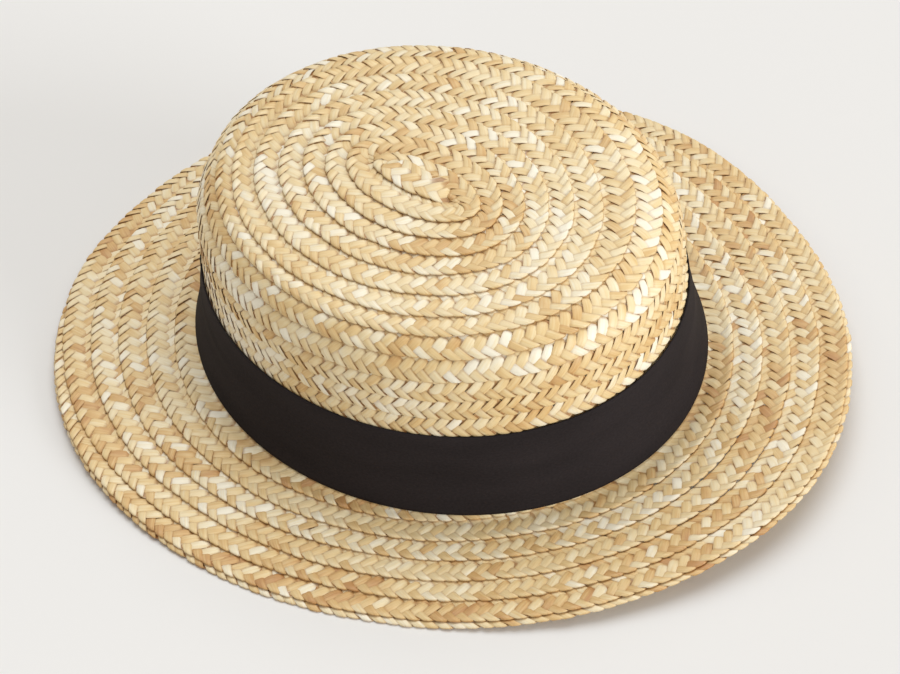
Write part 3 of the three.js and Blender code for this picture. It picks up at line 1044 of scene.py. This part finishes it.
class BOATER_OT_ribbon(bpy.types.Operator):
    """Draw the ribbon round the crown"""

    bl_idname = "boater.ribbon"
    bl_label = "Ribbon"

    def execute(self, context):
        piece = ribbon_band(context.scene.boater_ribbon, cotton_ribbon(context.scene.boater_colours))
        on_the_hat(piece, "hatband_ribbon")
        return {"FINISHED"}


# Two soft lights: a wide one above and behind the hat, and a low one at its right.
KEY_FROM = (-0.2, 0.37, 0.9)
KEY_SPREAD = 60
SIDE_FROM = (0.98, 0.13, 0.2)
SIDE_SPREAD = 30
LIGHT_COLOUR = (0.97, 0.995, 1.03)
SKY_COLOUR = (1.0, 0.95, 0.875, 1.0)
FLOOR_REACH = 6000

# The camera looks at a point inside the crown, from the photograph's side.
LOOK_AT = (-4.5, 0.35, 41.5)
CAMERA_SIDE = (0.6816, -0.7317)
CAMERA_HEIGHT_ANGLE = 0.748
CAMERA_DISTANCE = 1222.0
CAMERA_ROLL = 0.10
AIM = (2.7, -27.7)  # mm to the right of and above the point, in the picture
LENS = 137.8


def add_light(scene, name, toward, strength, spread):
    """A far soft light that comes from a direction, spread over an angle in degrees."""
    light = bpy.data.objects.new(name, bpy.data.lights.new(name, "SUN"))
    light.data.energy = strength
    light.data.angle = math.radians(spread)
    light.data.color = LIGHT_COLOUR
    light.rotation_mode = "QUATERNION"
    light.rotation_quaternion = Vector(toward).to_track_quat("Z", "Y")
    scene.collection.objects.link(light)


def aim_camera(scene):
    """The camera at the photograph's angle."""
    side = Vector((*CAMERA_SIDE, 0)).normalized()
    right = Vector((-side.y, side.x, 0))
    rise = Vector((0, 0, 1))
    away = side * math.cos(CAMERA_HEIGHT_ANGLE) + rise * math.sin(CAMERA_HEIGHT_ANGLE)
    up = rise * math.cos(CAMERA_HEIGHT_ANGLE) - side * math.sin(CAMERA_HEIGHT_ANGLE)
    rolled_right = right * math.cos(CAMERA_ROLL) - up * math.sin(CAMERA_ROLL)
    rolled_up = right * math.sin(CAMERA_ROLL) + up * math.cos(CAMERA_ROLL)
    point = Vector(LOOK_AT) * MM
    target = point + (rolled_right * AIM[0] + rolled_up * AIM[1]) * MM
    camera = bpy.data.objects.new("camera", bpy.data.cameras.new("camera"))
    camera.location = point + away * CAMERA_DISTANCE * MM
    back = (camera.location - target).normalized()
    across = rolled_up.cross(back).normalized()
    camera.rotation_mode = "QUATERNION"
    camera.rotation_quaternion = Matrix((across, back.cross(across), back)).transposed().to_quaternion()
    camera.data.lens = LENS
    camera.data.sensor_width = 36
    camera.data.clip_start = 0.01
    scene.collection.objects.link(camera)
    scene.camera = camera


class BOATER_OT_stage(bpy.types.Operator):
    """Lay the floor, set the light and place the camera"""

    bl_idname = "boater.stage"
    bl_label = "Stage"

    def execute(self, context):
        scene = context.scene
        stage = scene.boater_stage
        corners = np.array([(-1, -1, 0), (1, -1, 0), (1, 1, 0), (-1, 1, 0)]) * FLOOR_REACH
        floor = mesh_object("floor", corners, [[0, 1, 2, 3]], painted_floor(stage))

        add_light(scene, "key_light", KEY_FROM, stage.key, KEY_SPREAD)
        add_light(scene, "side_light", SIDE_FROM, stage.side, SIDE_SPREAD)

        world = bpy.data.worlds.new("soft_box")
        world.use_nodes = True
        world.node_tree.nodes.clear()
        sky = add_node(world.node_tree, "ShaderNodeBackground", {0: SKY_COLOUR, 1: stage.fill})
        add_node(world.node_tree, "ShaderNodeOutputWorld", {0: sky.outputs[0]})
        scene.world = world
        scene.view_settings.view_transform = "Standard"
        aim_camera(scene)
        return {"FINISHED"}


SETTINGS = {
    "boater_plait": BoaterPlait,
    "boater_colours": BoaterColours,
    "boater_ribbon": BoaterRibbon,
    "boater_stage": BoaterStage,
}
MAKERS = (
    BOATER_OT_stage,
    BOATER_OT_crown_tip,
    BOATER_OT_crown_side,
    BOATER_OT_brim,
    BOATER_OT_edge_plait,
    BOATER_OT_ribbon,
)


class BOATER_PT_sidebar(bpy.types.Panel):
    """The hat's sizes, colours and makers"""

    bl_label = "Boater"
    bl_idname = "BOATER_PT_sidebar"
    bl_space_type = "VIEW_3D"
    bl_region_type = "UI"
    bl_category = "Boater"

    def draw(self, context):
        for name in SETTINGS:
            settings = getattr(context.scene, name)
            box = self.layout.box()
            for key in settings.bl_rna.properties.keys():
                if key not in ("rna_type", "name"):
                    box.prop(settings, key)
        for maker in MAKERS:
            self.layout.operator(maker.bl_idname)


CLASSES = (*SETTINGS.values(), *MAKERS, BOATER_PT_sidebar)


def register():
    """Adds the settings and the makers."""
    for cls in CLASSES:
        bpy.utils.register_class(cls)
    for name, settings in SETTINGS.items():
        setattr(bpy.types.Scene, name, bpy.props.PointerProperty(type=settings))


def unregister():
    """Takes the settings and the makers away again."""
    for name in SETTINGS:
        delattr(bpy.types.Scene, name)
    for cls in reversed(CLASSES):
        bpy.utils.unregister_class(cls)


def main():
    """Make the whole scene."""
    register()
    bpy.ops.boater.stage()
    bpy.ops.boater.crown_tip()
    bpy.ops.boater.crown_side()
    bpy.ops.boater.brim()
    bpy.ops.boater.edge_plait()
    bpy.ops.boater.ribbon()
    bpy.context.view_layer.update()


if __name__ == "__main__":
    main()
